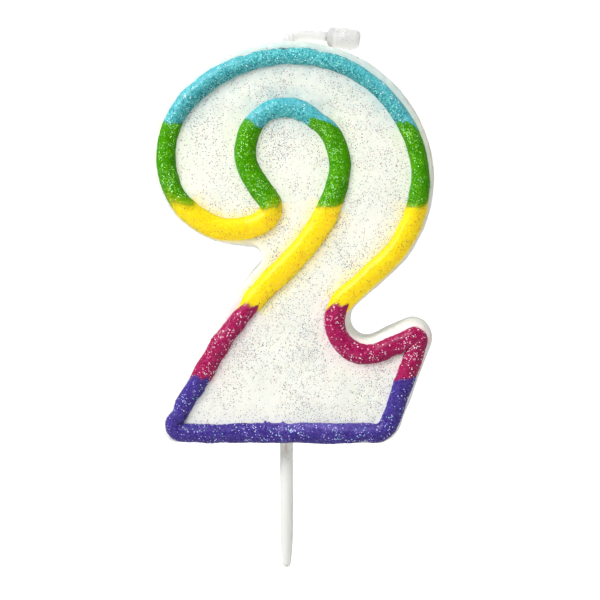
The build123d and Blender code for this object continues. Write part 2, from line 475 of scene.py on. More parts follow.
joint_lines = [joint_line(index) for index in range(len(JOINTS))]


# ---- meshes


def placed(name, data):
    """An object with this data, in the scene."""
    made = bpy.data.objects.new(name, data)
    bpy.context.scene.collection.objects.link(made)
    return made


def new_piece(name, points, faces, materials, smooth=True):
    """A mesh object from millimetre points."""
    mesh = bpy.data.meshes.new(name)
    mesh.from_pydata((np.asarray(points, float) * MM).tolist(), [], faces)
    mesh.polygons.foreach_set("use_smooth", [smooth] * len(mesh.polygons))
    for material in materials:
        mesh.materials.append(material)
    mesh.update()
    return placed(name, mesh)


def set_colour(mesh, name, colours):
    """Writes a colour for each vertex."""
    layer = mesh.attributes.new(name, "FLOAT_COLOR", "POINT")
    solid = np.column_stack([colours, np.ones(len(colours))])
    layer.data.foreach_set("color", solid.astype(np.float32).ravel())


def set_value(mesh, name, values):
    """Writes a number for each vertex."""
    layer = mesh.attributes.new(name, "FLOAT", "POINT")
    layer.data.foreach_set("value", np.asarray(values, np.float32))


def clean(piece, distance=0.004):
    """Welds what the mitres brought together, and turns every face outwards."""
    bm = bmesh.new()
    bm.from_mesh(piece.data)
    bmesh.ops.remove_doubles(bm, verts=bm.verts, dist=distance * MM)
    bmesh.ops.dissolve_degenerate(bm, edges=bm.edges, dist=distance * MM)
    bmesh.ops.recalc_face_normals(bm, faces=bm.faces)
    if bm.calc_volume(signed=True) < 0:
        bmesh.ops.reverse_faces(bm, faces=bm.faces)
    bm.to_mesh(piece.data)
    bm.free()


def tube_faces(rings, columns, caps=True):
    """Quads between closed rings of points, with an end face at each end."""
    faces = []
    for ring in range(rings - 1):
        low, high = ring * columns, (ring + 1) * columns
        for column in range(columns):
            nearby = (column + 1) % columns
            faces.append((low + column, low + nearby, high + nearby, high + column))
    if caps:
        faces.append(tuple(range(columns)))
        faces.append(tuple(range((rings - 1) * columns, rings * columns))[::-1])
    return faces


def coordinates(mesh):
    flat = np.empty(len(mesh.vertices) * 3)
    mesh.vertices.foreach_get("co", flat)
    return flat.reshape(-1, 3) / MM


# ---- materials


class Nodes:
    """A short way to build the node tree of a material or of the world."""

    def __init__(self, owner):
        owner.use_nodes = True
        self.owner, self.tree = owner, owner.node_tree
        self.shader = self.tree.nodes.get("Principled BSDF")
        self.places = self.node("TexCoord").outputs
        self.place = self.places["Object"]

    def put(self, socket, value):
        if isinstance(value, bpy.types.NodeSocket):
            self.tree.links.new(value, socket)
        elif socket.type == "RGBA" and len(value) == 3:
            socket.default_value = (*value, 1.0)
        else:
            socket.default_value = value

    def node(self, kind, **values):
        made = self.tree.nodes.new("ShaderNode" + kind)
        for key, value in values.items():
            if key in made.inputs:
                self.put(made.inputs[key], value)
            else:
                setattr(made, key, value)
        return made

    def attribute(self, name, output="Color"):
        return self.node("Attribute", attribute_name=name).outputs[output]

    def mapped(self, **values):
        """The object's coordinates, moved by a Location or stretched by a Scale."""
        return self.node("Mapping", Vector=self.place, **values).outputs["Vector"]

    def channels(self, colour):
        return self.node("SeparateColor", Color=colour).outputs

    def noise(self, size, detail=2.0, rough=0.5, place=None):
        """Noise from 0 to 1 whose features are that many millimetres across."""
        made = self.node("TexNoise", Scale=1 / (size * MM), Detail=detail, Roughness=rough)
        self.put(made.inputs["Vector"], place or self.place)
        return made.outputs["Fac"]

    def cells(self, size, place=None):
        """Round cells that many millimetres across, as the node's outputs."""
        made = self.node("TexVoronoi", feature="F1", Scale=1 / (size * MM))
        self.put(made.inputs["Vector"], place or self.place)
        return made.outputs

    def between(self, value, low, high, to_low=0.0, to_high=1.0):
        """The value's range from low to high, mapped to another range and clamped to it."""
        made = self.node("MapRange", Value=value)
        ends = {"From Min": low, "From Max": high, "To Min": to_low, "To Max": to_high}
        for key, number in ends.items():
            self.put(made.inputs[key], number)
        return made.outputs["Result"]

    def product(self, first, second):
        made = self.node("Math", operation="MULTIPLY")
        self.put(made.inputs[0], first)
        self.put(made.inputs[1], second)
        return made.outputs[0]

    def mix(self, share, first, second, blend="MIX"):
        made = self.node("Mix", data_type="RGBA", blend_type=blend)
        for slot, value in zip((0, 6, 7), (share, first, second)):
            self.put(made.inputs[slot], value)
        return made.outputs[2]

    def times(self, first, second):
        return self.mix(1.0, first, second, "MULTIPLY")

    def plus(self, first, second):
        return self.mix(1.0, first, second, "ADD")

    def bump(self, height, strength, distance, normal=None):
        made = self.node("Bump", Strength=strength, Distance=distance * MM, Height=height)
        if normal is not None:
            self.put(made.inputs["Normal"], normal)
        return made.outputs["Normal"]

    def finish(self, **sockets):
        for key, value in sockets.items():
            self.put(self.shader.inputs[key.replace("_", " ")], value)
        return self.owner


def new_material(name):
    return Nodes(bpy.data.materials.new(name))


def soft_wax(n, weight, radius, scale, shine=0.35, ior=1.44):
    """Gives a wax its scattering, as plain values on the shader."""
    n.shader.inputs["Subsurface Weight"].default_value = weight
    n.shader.inputs["Subsurface Radius"].default_value = radius
    n.shader.inputs["Subsurface Scale"].default_value = scale * MM
    n.shader.inputs["IOR"].default_value = ior
    n.shader.inputs["Specular IOR Level"].default_value = shine


def speckle(n, size, share, seed_shift):
    """1 in a few small round specks, and 0 between them."""
    cell = n.cells(size, n.mapped(Location=(seed_shift * MM, 0.37 * seed_shift * MM, 0.0)))
    near = n.between(cell["Distance"], 0.30, 0.22)
    chosen = n.between(n.channels(cell["Color"])[0], share, share * 0.98)
    return n.product(near, chosen)


def wick_wax_material(name):
    """The clear wax on the wick, with a few specks in it and a painted glow standing in for light
    coming through it.
    """
    n = new_material(name)
    base = n.mix(n.noise(1.6, 3.0), WICK_WHITE, n.times(WICK_WHITE, (0.95, 0.95, 0.96)))
    base = n.times(base, n.attribute("paint"))
    # Fine specks of glitter, coloured dark as a painted dark reflection
    specks = speckle(n, 0.34, 0.07, 3.0)
    base = n.mix(n.product(specks, 0.5), base, (0.34, 0.33, 0.34))
    normal = n.bump(n.noise(0.7, 3.0, 0.6), 0.3, 0.06)
    soft_wax(n, 1.0, (1.0, 0.97, 0.95), 3.2, 0.25)
    # Painted glow: emission from the glow colour stands in for light coming through the clear wax
    n.shader.inputs["Emission Strength"].default_value = 1.0
    glow = n.mix(n.product(specks, 0.6), n.attribute("glow"), (0.05, 0.05, 0.05))
    rough = n.between(n.noise(1.1, 3.0), 0.3, 0.7, 0.36, 0.52)
    return n.finish(Emission_Color=glow, Base_Color=base, Roughness=rough, Normal=normal)


def white_wax_material(name):
    """Cloudy white wax, stained beside the beads with dye and with painted glow and shade, with
    dark specks seen through it.
    """
    n = new_material(name)
    base = n.mix(n.between(n.noise(6.5, 4.0), 0.38, 0.66), WHITE, CLOUDY_WHITE)
    patchy = n.between(n.noise(1.6, 3.0), 0.3, 0.7, 0.55, 1.35)
    # The bleed share and the dye colour carry dye stains together with painted glow and painted
    # shade
    base = n.mix(n.product(n.attribute("bleed_and_painted_light", "Fac"), patchy), base, n.attribute("dye"))
    # Fine specks of glitter in the wax, coloured dark as a painted dark reflection
    base = n.mix(n.product(speckle(n, 0.30, 0.16, 3.0), 0.42), base, (0.40, 0.33, 0.44))
    base = n.mix(n.product(speckle(n, 0.21, 0.10, 7.7), 0.35), base, (0.42, 0.50, 0.47))
    normal = n.bump(n.noise(0.5, 3.0, 0.6), 0.35, 0.05)
    normal = n.bump(n.noise(2.4, 2.0), 0.35, 0.12, normal)
    rough = n.between(n.noise(1.1, 3.0), 0.3, 0.7, 0.33, 0.50)
    soft_wax(n, 0.6, (1.0, 0.85, 0.7), 0.9)
    return n.finish(Base_Color=base, Roughness=rough, Normal=normal)


def dyed_wax_material(dye, light, dark, granule, sheen, grain, fleck):
    """A dyed wax with cloudy patches, light and dark granules, bright flecks painted as glints, and
    on the yellow a painted glow.
    """
    n = new_material(dye + " wax")
    paint = n.attribute("paint")
    cloud = n.between(n.noise(1.5, 4.0, 0.6), 0.35, 0.68)
    base = n.mix(cloud, n.times(paint, dark), paint)
    streaks = n.noise(0.9, 3.0, 0.55, n.mapped(Scale=(1.0, 1.0, 0.35)))
    streak = n.between(streaks, 0.52, 0.75)
    base = n.mix(n.product(streak, 0.4), base, n.plus(paint, light))
    picked = n.channels(n.cells(0.23)["Color"])[1]
    grit = n.attribute("grit", "Fac")
    patchy = n.between(n.noise(2.2, 2.0), 0.36, 0.62, 0.45 * grain, 1.25 * grain)
    grain_here = n.product(grit, patchy)
    low = n.product(n.between(picked, 0.48, 0.10), grain_here)
    high = n.product(n.between(picked, 0.62, 0.95, 0.0, grain), grit)
    base = n.mix(low, base, n.times(base, granule))
    base = n.mix(high, base, n.plus(base, light))
    # Bright flecks: painted glints of fine glitter in the dye
    bright = n.mix(0.6, light, (0.9, 1.0, 1.0))
    base = n.mix(n.product(speckle(n, 0.26, 0.15, 5.0), fleck), base, bright)
    normal = n.bump(n.noise(0.28, 2.0, 0.7), 0.25 + 0.5 * grain, 0.05)
    normal = n.bump(n.noise(1.2, 3.0), 0.35, 0.12, normal)
    rough = n.between(n.noise(0.8, 3.0), 0.3, 0.7, 0.22, 0.36)
    weight, scale = (0.85, 1.3) if dye == "yellow" else (0.25, 0.5)
    soft_wax(n, weight, [part + 0.2 for part in DYES[dye]], scale, 0.26)
    n.shader.inputs["Specular Tint"].default_value = (*sheen, 1.0)
    # Painted glow: emission from the lee share stands in for light coming through the yellow beads
    n.shader.inputs["Emission Strength"].default_value = 1.0
    glow = n.mix(n.attribute("lee", "Fac"), (0.0, 0.0, 0.0), PAINTED_LEE_GLOW)
    return n.finish(Emission_Color=glow, Base_Color=base, Roughness=rough, Normal=normal)


def foil_material(name, colour, rough, metallic):
    """Glitter foil: each piece of glitter is its own flake, so its finish is even."""
    return new_material(name).finish(Base_Color=colour, Roughness=rough, Metallic=metallic)


def plastic_material(name):
    """Cloudy white plastic, drawn out along the pick."""
    n = new_material(name)
    cloudy = n.noise(2.2, 3.0, 0.6, n.mapped(Scale=(1.0, 1.0, 0.25)))
    base = n.mix(cloudy, (0.80, 0.805, 0.78), (0.73, 0.735, 0.70))
    base = n.times(base, n.attribute("paint"))
    normal = n.bump(n.noise(0.35, 2.0, 0.6, n.mapped(Scale=(1.0, 1.0, 0.12))), 0.25, 0.04)
    rough = n.between(cloudy, 0.3, 0.7, 0.34, 0.52)
    soft_wax(n, 0.7, (0.9, 0.9, 0.85), 1.5, ior=1.49)
    return n.finish(Base_Color=base, Roughness=rough, Normal=normal)


def cotton_material(name):
    """Plaited cotton thread."""
    n = new_material(name)
    wave = n.node("TexWave", Scale=900.0, Distortion=2.0, bands_direction="DIAGONAL")
    n.put(wave.inputs["Vector"], n.place)
    twist = wave.outputs["Fac"]
    base = n.mix(twist, (0.70, 0.68, 0.62), (0.88, 0.87, 0.83))
    normal = n.bump(twist, 0.6, 0.08)
    rough = n.between(n.noise(0.3), 0.3, 0.7, 0.7, 0.95)
    return n.finish(Base_Color=base, Roughness=rough, Normal=normal)


white_wax = white_wax_material("numeral wax")
wick_wax = wick_wax_material("wick wax")
# Each dye's light streaks, cloudy patches, dark granules and sheen, its grain, and its flecks,
# which are painted glints of fine glitter
LOOKS = {
    "turquoise": (
        (0.12, 0.26, 0.25), (0.62, 0.80, 0.82), (0.26, 0.46, 0.55), (1.0, 1.0, 1.0), 0.78, 0.5
    ),
    "green": (
        (0.06, 0.12, 0.0), (0.70, 0.84, 0.5), (0.38, 0.55, 0.4), (0.6, 1.0, 0.3), 0.55, 0.25
    ),
    "yellow": (
        (0.0, 0.06, 0.01), (1.0, 0.92, 0.7), (0.95, 0.68, 0.4), (1.0, 1.0, 0.8), 0.55, 0.0
    ),
    "magenta": (
        (0.14, 0.03, 0.08), (0.80, 0.6, 0.75), (0.50, 0.35, 0.5), (1.0, 0.9, 1.0), 0.50, 0.25
    ),
    "purple": (
        (0.07, 0.06, 0.16), (0.72, 0.66, 0.8), (0.45, 0.45, 0.6), (1.0, 1.0, 1.0), 0.45, 0.2
    ),
}
dyed = {dye: dyed_wax_material(dye, *look) for dye, look in LOOKS.items()}
cotton = cotton_material("waxed cotton")
plastic = plastic_material("pick plastic")
# Each foil's colour, roughness and metallic share
FOILS = {
    "silver": ((0.98, 1.0, 1.0), 0.28, 0.25),
    "ice blue": ((0.36, 0.96, 1.0), 0.25, 0.25),
    "jade": ((0.25, 0.92, 0.70), 0.25, 0.25),
    "sea blue": ((0.05, 0.33, 0.42), 0.35, 0.3),
    "mint": ((0.46, 1.0, 0.36), 0.25, 0.25),
    "lime": ((0.42, 0.90, 0.10), 0.25, 0.2),
    "rose": ((1.0, 0.52, 0.68), 0.28, 0.25),
    "lilac": ((0.56, 0.56, 1.0), 0.28, 0.25),
    "amber": ((0.62, 0.32, 0.04), 0.35, 0.3),
    "umber": ((0.24, 0.13, 0.02), 0.35, 0.3),
    "violet": ((0.12, 0.08, 0.17), 0.35, 0.3),
    "grey": ((0.10, 0.10, 0.11), 0.35, 0.3),
    "slate": ((0.09, 0.17, 0.18), 0.35, 0.3),
    "mauve": ((0.34, 0.16, 0.27), 0.35, 0.3),
}
foil = {name: foil_material(name + " foil", *look) for name, look in FOILS.items()}


# ---- the bead's twelve bands


def band_runs(index):
    """The run of every crown column at each ring of a band, and how far each is from a joint."""
    before, after = joint_lines[index - 1], joint_lines[index]
    first = joint_runs[index - 1] - (TOTAL if index == 0 else 0)
    if index == 0:
        before = before - TOTAL
    last = joint_runs[index]
    count = math.ceil((last - first) / RING_STEP) + 1
    rings = np.linspace(first, last, count)[:, None]
    fade_in = np.clip(1 - (rings - first) / END_REACH, 0, 1) ** 1.5
    fade_out = np.clip(1 - (last - rings) / END_REACH, 0, 1) ** 1.5
    runs = rings + (before - first) * fade_in + (after - last) * fade_out
    return runs, runs - before, after - runs


def dye_near(index):
    """The dye of a band, of the one before it and of the one after it."""
    names = band_dyes[index], band_dyes[index - 1], band_dyes[(index + 1) % len(BANDS)]
    return [np.array(DYES[name]) for name in names]


def make_band(index):
    """One coloured length of bead, with its crown above the face and its root in the wax."""
    node, dye = BANDS[index]
    runs, to_start, to_end = band_runs(index)
    rings = len(runs)
    points = np.zeros((rings, CROWN_COLUMNS + 2, 3))
    for column, (u, alpha) in enumerate(zip(crown_us, crown_angles)):
        plan, height = column_points(runs[:, column], u, alpha)
        points[:, column] = lifted(plan, FRONT_Y - height)
    for column, edge in ((CROWN_COLUMNS, CROWN_COLUMNS - 1), (CROWN_COLUMNS + 1, 0)):
        opposite = CROWN_COLUMNS - 1 - edge
        points[:, column] = points[:, edge] * (1 - ROOT_TAPER) + points[:, opposite] * ROOT_TAPER
        points[:, column, 1] = FRONT_Y + BEAD_ROOT
    flat = points.reshape(-1, 3)
    faces = tube_faces(rings, CROWN_COLUMNS + 2)
    piece = new_piece(node.replace("_bead", "_glitter_bead"), flat, faces, [dyed[dye]])
    own, earlier, later = dye_near(index)
    mottle = 1 + 0.45 * field(points[:, :CROWN_COLUMNS].reshape(-1, 3), 0.7, 18).reshape(rings, -1)
    mottle = np.clip(mottle, 0.4, 2.0)
    start_share = 0.5 * np.exp(-to_start / (JOINT_BLUR[index - 1] * mottle))[..., None]
    end_share = 0.5 * np.exp(-to_end / (JOINT_BLUR[index] * mottle))[..., None]
    paint = own * (1 - start_share - end_share) + earlier * start_share + later * end_share
    paint = under_too(paint)
    grit = np.ones(len(paint))
    if dye == "turquoise":
        smooth = smooth_and_highlit_side(index, points)
        grit = 1.1 - 0.85 * smooth
        # Painted highlight down the turquoise's smooth side
        paint = paint + np.array(PAINTED_FLANK_HIGHLIGHT) * smooth[:, None]
        # Painted shade down the outer turquoise's concave side
        paint = paint * (1 - 0.22 * painted_shade_side(index, points))[:, None]
        paint = blotted(paint, SMUDGE, smudge_share(flat))
    if node == "purple_base_bead":
        # Painted highlight along the upper half of the purple base
        paint = blotted(paint, PURPLE_TOP_HIGHLIGHT, top_highlight_share(flat))
    if dye == "yellow":
        set_value(piece.data, "lee", lee_side(points, runs))
    set_colour(piece.data, "paint", paint)
    set_value(piece.data, "grit", grit)
    clean(piece)
    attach(piece, "candle")
    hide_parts(node)
    return piece


def under_too(values):
    """A value for each crown column, carried on to the two columns of the root, in one list."""
    whole = np.concatenate([values, values[:, [-1, 0]]], axis=1)
    return whole.reshape(-1, *values.shape[2:])


def flanks_only(points, middle, reach):
    """0 over the top of the numeral, rising to 1 down both its sides."""
    return 1 - np.exp(-(((points[..., 0] - middle) / reach) ** 4))


def smooth_and_highlit_side(index, points):
    """1 on the turquoise's smooth convex side, which also gets a painted highlight, 0 on its gritty
    concave side and over the top.
    """
    if index == TURQUOISE_INNER:
        share = np.clip((0.15 - ring_us) / 0.6, 0, 1)[None] * np.ones(points.shape[:2])
    else:
        share = np.clip((ring_us + 0.15) / 0.6, 0, 1)[None] * flanks_only(points, 3.0, 11.5)
    patchy = 0.8 + 0.35 * field(points.reshape(-1, 3), 2.4, 20).reshape(share.shape)
    return (share * np.clip(patchy, 0, 1)).ravel()


def painted_shade_side(index, points):
    """1 on the outer turquoise's concave side, down its flanks, where its dye is darkened as
    painted shade.
    """
    share = np.clip((0.35 - ring_us) / 0.8, 0, 1)[None] * flanks_only(points, 1.0, 9.0)
    return share.ravel() * (index == TURQUOISE_OUTER)


def lee_side(points, runs):
    """0 on a bead's crown, rising to 1 down its lower right side, where a painted glow stands in
    for light coming through.
    """
    middle, _ = centre_at(runs.ravel())
    away = points[:, :CROWN_COLUMNS, ::2] - middle.reshape(*runs.shape, 2)
    return under_too(np.clip((0.6 * away[..., 0] - 0.8 * away[..., 1]) / 1.7, 0, 1) ** 1.5)


def smudge_share(points):
    """How strong the small dark smudge at the very top of the numeral is."""
    across = (points[:, 0] + 0.05) / 0.85
    below = (points[:, 2] - 72.35 - 0.10 * points[:, 0]) / 0.38
    return np.exp(-((across**2 + below**2) ** 1.5))


def top_highlight_share(points):
    """How strong the painted highlight along the upper half of the base's right part is."""
    along = np.clip((points[:, 0] + 3.6) / 0.8, 0, 1) * np.clip((18.0 - points[:, 0]) / 3.0, 0, 1)
    up = np.clip((points[:, 2] - 2.1) / 0.7, 0, 1) * (points[:, 2] < 4.4)
    rag = np.clip(0.75 + 0.45 * field(points * [0.5, 1, 1.6], 1.4, 19), 0.15, 1.2)
    return 0.62 * along * up * rag


def blotted(paint, colour, share):
    return paint * (1 - share[:, None]) + np.array(colour) * share[:, None]


beads = [make_band(index) for index in range(len(BANDS))]


# ---- the white wax

def tree_of(plan):
    """A search tree of plan points."""
    tree = KDTree(len(plan))
    for number, (x, z) in enumerate(plan):
        tree.insert((x, z, 0.0), number)
    tree.balance()
    return tree


tree_runs = np.arange(0, TOTAL, 0.15)
tree_points, tree_headings = centre_at(tree_runs)
tree_shift, tree_half = bead_extent(tree_runs)
bead_tree = tree_of(tree_points + right_of(tree_headings) * tree_shift[:, None])


def nearest_bead(points):
    """Distance from the bead's edge in plan, and the run of the nearest point of the bead."""
    found = [bead_tree.find((x, z, 0.0)) for x, _, z in points]
    nearest = [f[1] for f in found]
    return np.array([f[2] for f in found]) - tree_half[nearest], tree_runs[nearest]


def wax_rings():
    """The numeral's skin as rings from its front face to its back face."""
    rings = []
    quarter = np.radians(np.linspace(0, 90, 6))
    slope = (BACK_MARGIN - FRONT_MARGIN) / (BACK_Y - FRONT_Y)
    steps = []
    for a in quarter:
        steps.append((-FRONT_ROUND * (1 - math.sin(a)), FRONT_Y + FRONT_ROUND * (1 - math.cos(a))))
    steps += [(0.0, y) for y in np.linspace(FRONT_Y + FRONT_ROUND, BACK_Y - BACK_ROUND, 18)[1:]]
    for a in quarter[1:]:
        steps.append((-BACK_ROUND * (1 - math.cos(a)), BACK_Y - BACK_ROUND * (1 - math.sin(a))))
    for inset, y in steps:
        margin = FRONT_MARGIN + slope * (y - FRONT_Y) + inset
        plan, _, _ = trace(wax_loop, BASE_LEFT, margin=margin)
        rings.append(lifted(plan[:-1], y))
    return np.array(rings)


def remeshed(piece, voxel):
    """The piece's mesh as an even skin of small faces."""
    modifier = piece.modifiers.new("even", "REMESH")
    modifier.mode = "VOXEL"
    modifier.voxel_size = voxel * MM
    modifier.use_smooth_shade = True
    graph = bpy.context.evaluated_depsgraph_get()
    mesh = bpy.data.meshes.new_from_object(piece.evaluated_get(graph))
    piece.modifiers.clear()
    old, piece.data = piece.data, mesh
    bpy.data.meshes.remove(old)
    return mesh


def make_numeral():
    """The moulded white body, gently uneven, creeping up at the beads, and stained and painted with
    glow and shade near them.
    """
    rings = wax_rings()
    points = rings.reshape(-1, 3).copy()
    points[:, 2] = np.maximum(points[:, 2], 0.0)
    piece = new_piece("numeral_moulded_wax", points, tube_faces(*rings.shape[:2]), [white_wax])
    clean(piece)
    mesh = remeshed(piece, VOXEL)
    points = coordinates(mesh)
    normals = np.empty(len(points) * 3)
    mesh.vertex_normals.foreach_get("vector", normals)
    normals = normals.reshape(-1, 3)
    gap, runs = nearest_bead(points)
    front = np.clip((-normals[:, 1] - 0.6) / 0.3, 0, 1)
    creep = CREEP * np.exp(-np.maximum(gap, 0) / CREEP_REACH) * front
    uneven = 0.045 * field(points, 6.5, 31) + 0.018 * field(points, 1.9, 32)
    uneven *= np.clip(points[:, 2] / 0.6, 0, 1)
    points = points + normals * (uneven + creep)[:, None]
    mesh.vertices.foreach_set("co", (points * MM).ravel())
    mesh.update()
    mesh.materials.clear()
    mesh.materials.append(white_wax)
    stain_and_painted_light(mesh, points, gap, runs)
    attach(piece, "candle")
    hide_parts("wax_numeral")
    return piece


# How strongly each dye stains the white wax beside it, how far, and the stain's colour. The stain
# is partly dye bled into the wax and partly a painted glow of the beads' colour; at the yellow it
# is also painted warm light over the bead's shadow.
STAINS_AND_GLOWS = {
    "turquoise": (0.24, 0.9, (0.52, 0.86, 0.86)),
    "green": (0.24, 0.9, (0.62, 0.84, 0.50)),
    "yellow": (0.78, 0.95, (1.0, 0.82, 0.30)),
    "magenta": (0.34, 1.1, (0.95, 0.56, 0.70)),
    "purple": (0.20, 0.9, (0.62, 0.58, 0.85)),
}


# The tint each dye casts further over the white wax, partly dye bled into it and partly painted
# shade, strongest as the grey-green shade beside the turquoise: how strong, and its colour
TINTS = {
    "turquoise": (0.92, (0.60, 0.68, 0.64)),
    "green": (0.28, (0.74, 0.78, 0.54)),
    "yellow": (0.22, (0.88, 0.82, 0.52)),
    "magenta": (0.20, (0.88, 0.74, 0.68)),
    "purple": (0.12, (0.74, 0.72, 0.78)),
}
# How far a tint reaches past a bead's usual half width, and how far one dye's tint blends into
# the next one's
TINT_REACH = 3.2
TINT_BLEND = 1.6
BEAD_HALF = 1.7


def by_dye(table, column, runs):
    """One column of a table of dyes, at each distance along the loop."""
    return np.array([table[dye][column] for dye in band_dyes])[band_of(runs)]


def tinted(points):
    """The tint at each point from all the bead round it: its strength, and its colour."""
    runs = np.arange(0, TOTAL, 1.2)
    centres, _ = centre_at(runs)
    strength, colours = (by_dye(TINTS, i, runs) for i in (0, 1))
    away = np.linalg.norm(points[:, None, ::2] - centres[None], axis=-1)
    weights = np.exp(-away / TINT_BLEND)
    weights /= weights.sum(axis=1, keepdims=True)
    reach = np.exp(-np.maximum(away.min(axis=1) - BEAD_HALF, 0) / TINT_REACH)
    return (weights @ strength) * reach, weights @ colours


def stain_and_painted_light(mesh, points, gap, runs):
    """Writes the colour by the nearest band of bead into the white wax: the dye that has bled into
    it, with painted glow and painted shade.
    """
    strength, length, colours = (by_dye(STAINS_AND_GLOWS, i, runs) for i in (0, 1, 2))
    near = strength * np.exp(-np.maximum(gap, 0) / length)
    far, far_colours = tinted(points)
    amount = np.maximum(near + far, 1e-6)
    depth = np.clip((points[:, 1] - FRONT_Y - 0.5) / 2.0, 0, 1)
    both = colours * near[:, None] + far_colours * far[:, None]
    set_value(mesh, "bleed_and_painted_light", amount * (1 - depth))
    set_colour(mesh, "dye", both / amount[:, None])


numeral = make_numeral()


# ---- the wick and the pick


def turned(name, path, headings, radii, around, materials, lumps):
    """A round bar along a plan path with a radius at each ring and small lumps."""
    angles = np.linspace(0, 2 * math.pi, around, endpoint=False)
    side = right_of(headings)
    rings = np.zeros((len(path), around, 3))
    for column, angle in enumerate(angles):
        plan = path + side * (radii * math.cos(angle))[:, None]
        rings[:, column] = lifted(plan, radii * math.sin(angle))
    points = rings.reshape(-1, 3)
    centre = np.repeat(lifted(path), around, axis=0)
    outwards = points - centre
    outwards /= np.maximum(np.linalg.norm(outwards, axis=1, keepdims=True), 1e-9)
    grow = sum(size * field(points, scale, seed) for size, scale, seed in lumps)
    grow *= np.clip(np.linalg.norm(points - centre, axis=1) / COAT_RADIUS, 0, 1)
    points = points + outwards * grow[:, None]
    return new_piece(name, points, tube_faces(len(path), around), materials)


def wick_path(end):
    """The wick's middle as points, headings and runs, over the bend and the droop to its end."""
    root = [("line", BEND_START_Z - WICK_FOOT[1])]
    chain = root + BEND + DROOP + end
    path, headings, _ = trace(chain, WICK_FOOT, heading=90.0, spacing=0.1, reach=1.0)
    run = np.concatenate([[0.0], np.cumsum(np.linalg.norm(np.diff(path, axis=0), axis=1))])
    path[:, 1] -= WICK_SAG * np.clip((run - 1.2) / 4.0, 0, 1)
    return path, headings, run


def wick_radii(run, dip_start):
    """The radius at each distance along the wick: a flared foot, a thin stem and the dipped end."""
    end = run[-1]
    rounding = DIP_ROUND - np.clip(np.minimum(run - dip_start, end - run), 0, DIP_ROUND)
    rounded = np.sqrt(np.maximum(DIP_ROUND**2 - rounding**2, 0))
    dip = DIP_RADIUS + DIP_GROWTH - DIP_ROUND + rounded
    coat = STEM_RADIUS + (COAT_RADIUS - STEM_RADIUS) * np.clip((2.6 - run) / 1.2, 0, 1)
    coat = coat + FOOT_FLARE * np.exp(-np.maximum(run - 0.9, 0) / 0.35)
    thicker = np.maximum(dip, np.where(run > end - DIP_ROUND, 0, coat))
    return np.where(run >= dip_start - 1e-6, thicker, coat)


def make_wick():
    """The waxed wick: a coat that leaves the candle, bends over and ends in a thick dipped end."""
    path, headings, run = wick_path(DIP)
    dip_start = wick_path([])[2][-1]
    lumps = [(0.06, 2.4, 41), (0.03, 0.9, 42)]
    radii = wick_radii(run, dip_start)
    piece = turned("wick_waxed", path, headings, radii, WICK_COLUMNS, [wick_wax], lumps)
    outwards = coordinates(piece.data) - np.repeat(lifted(path), WICK_COLUMNS, axis=0)
    outwards /= np.maximum(np.linalg.norm(outwards, axis=1, keepdims=True), 1e-6)
    # Painted glow, weakest on the side that faces the lamp and strongest on the far side
    upper = outwards @ np.array(WICK_LIT_SIDE)
    dipped = np.repeat(np.clip((run - dip_start) / 0.6, 0, 1), WICK_COLUMNS)
    # Painted shade: around the start of the dipped end the painted glow is cut back and the wax
    # darkened
    collar = np.repeat(np.exp(-(((run - dip_start - 0.4) / 0.75) ** 4)), WICK_COLUMNS)
    glow = 0.25 + 0.05 * dipped - (0.20 + 0.05 * dipped) * upper
    glow = np.clip(glow, 0, 1) * (1 - 0.85 * collar)
    set_colour(piece.data, "glow", glow[:, None] * np.array([1.0, 1.0, 0.98]))
    # Painted shade around the start of the dipped end
    set_colour(piece.data, "paint", 1 - 0.22 * collar[:, None] * np.ones(3))
    clean(piece)
    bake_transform(piece)
    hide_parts("wick_bend_coat", "wick_tip_coat", "wick_dipped_end")
    return piece


def make_braid():
    """The cotton core of the bent wick: three strands plaited inside the coat."""
    path, headings, run = wick_path([("line", 4.2)])
    side = right_of(headings)
    around, strands, strand_radius, pitch = 10, 3, 0.27, 2.6
    swing, depth_swing = 0.42, 0.22
    strand_faces = tube_faces(len(path), around)
    points, faces = [], []
    for strand in range(strands):
        phase = 2 * math.pi * (run / pitch + strand / strands)
        middle = path + side * (swing * np.sin(phase))[:, None]
        depth = depth_swing * np.sin(2 * phase)
        columns = []
        for angle in np.linspace(0, 2 * math.pi, around, endpoint=False):
            plan = middle + side * (strand_radius * math.cos(angle))
            columns.append(lifted(plan, depth + strand_radius * math.sin(angle)))
        first = strand * len(path) * around
        points.append(np.array(columns).transpose(1, 0, 2).reshape(-1, 3))
        faces += [tuple(first + i for i in face) for face in strand_faces]
    piece = new_piece("wick_braid", np.vstack(points), faces, [cotton])
    clean(piece)
    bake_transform(piece)
    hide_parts("wick_bend_braid", "wick_tip_braid")


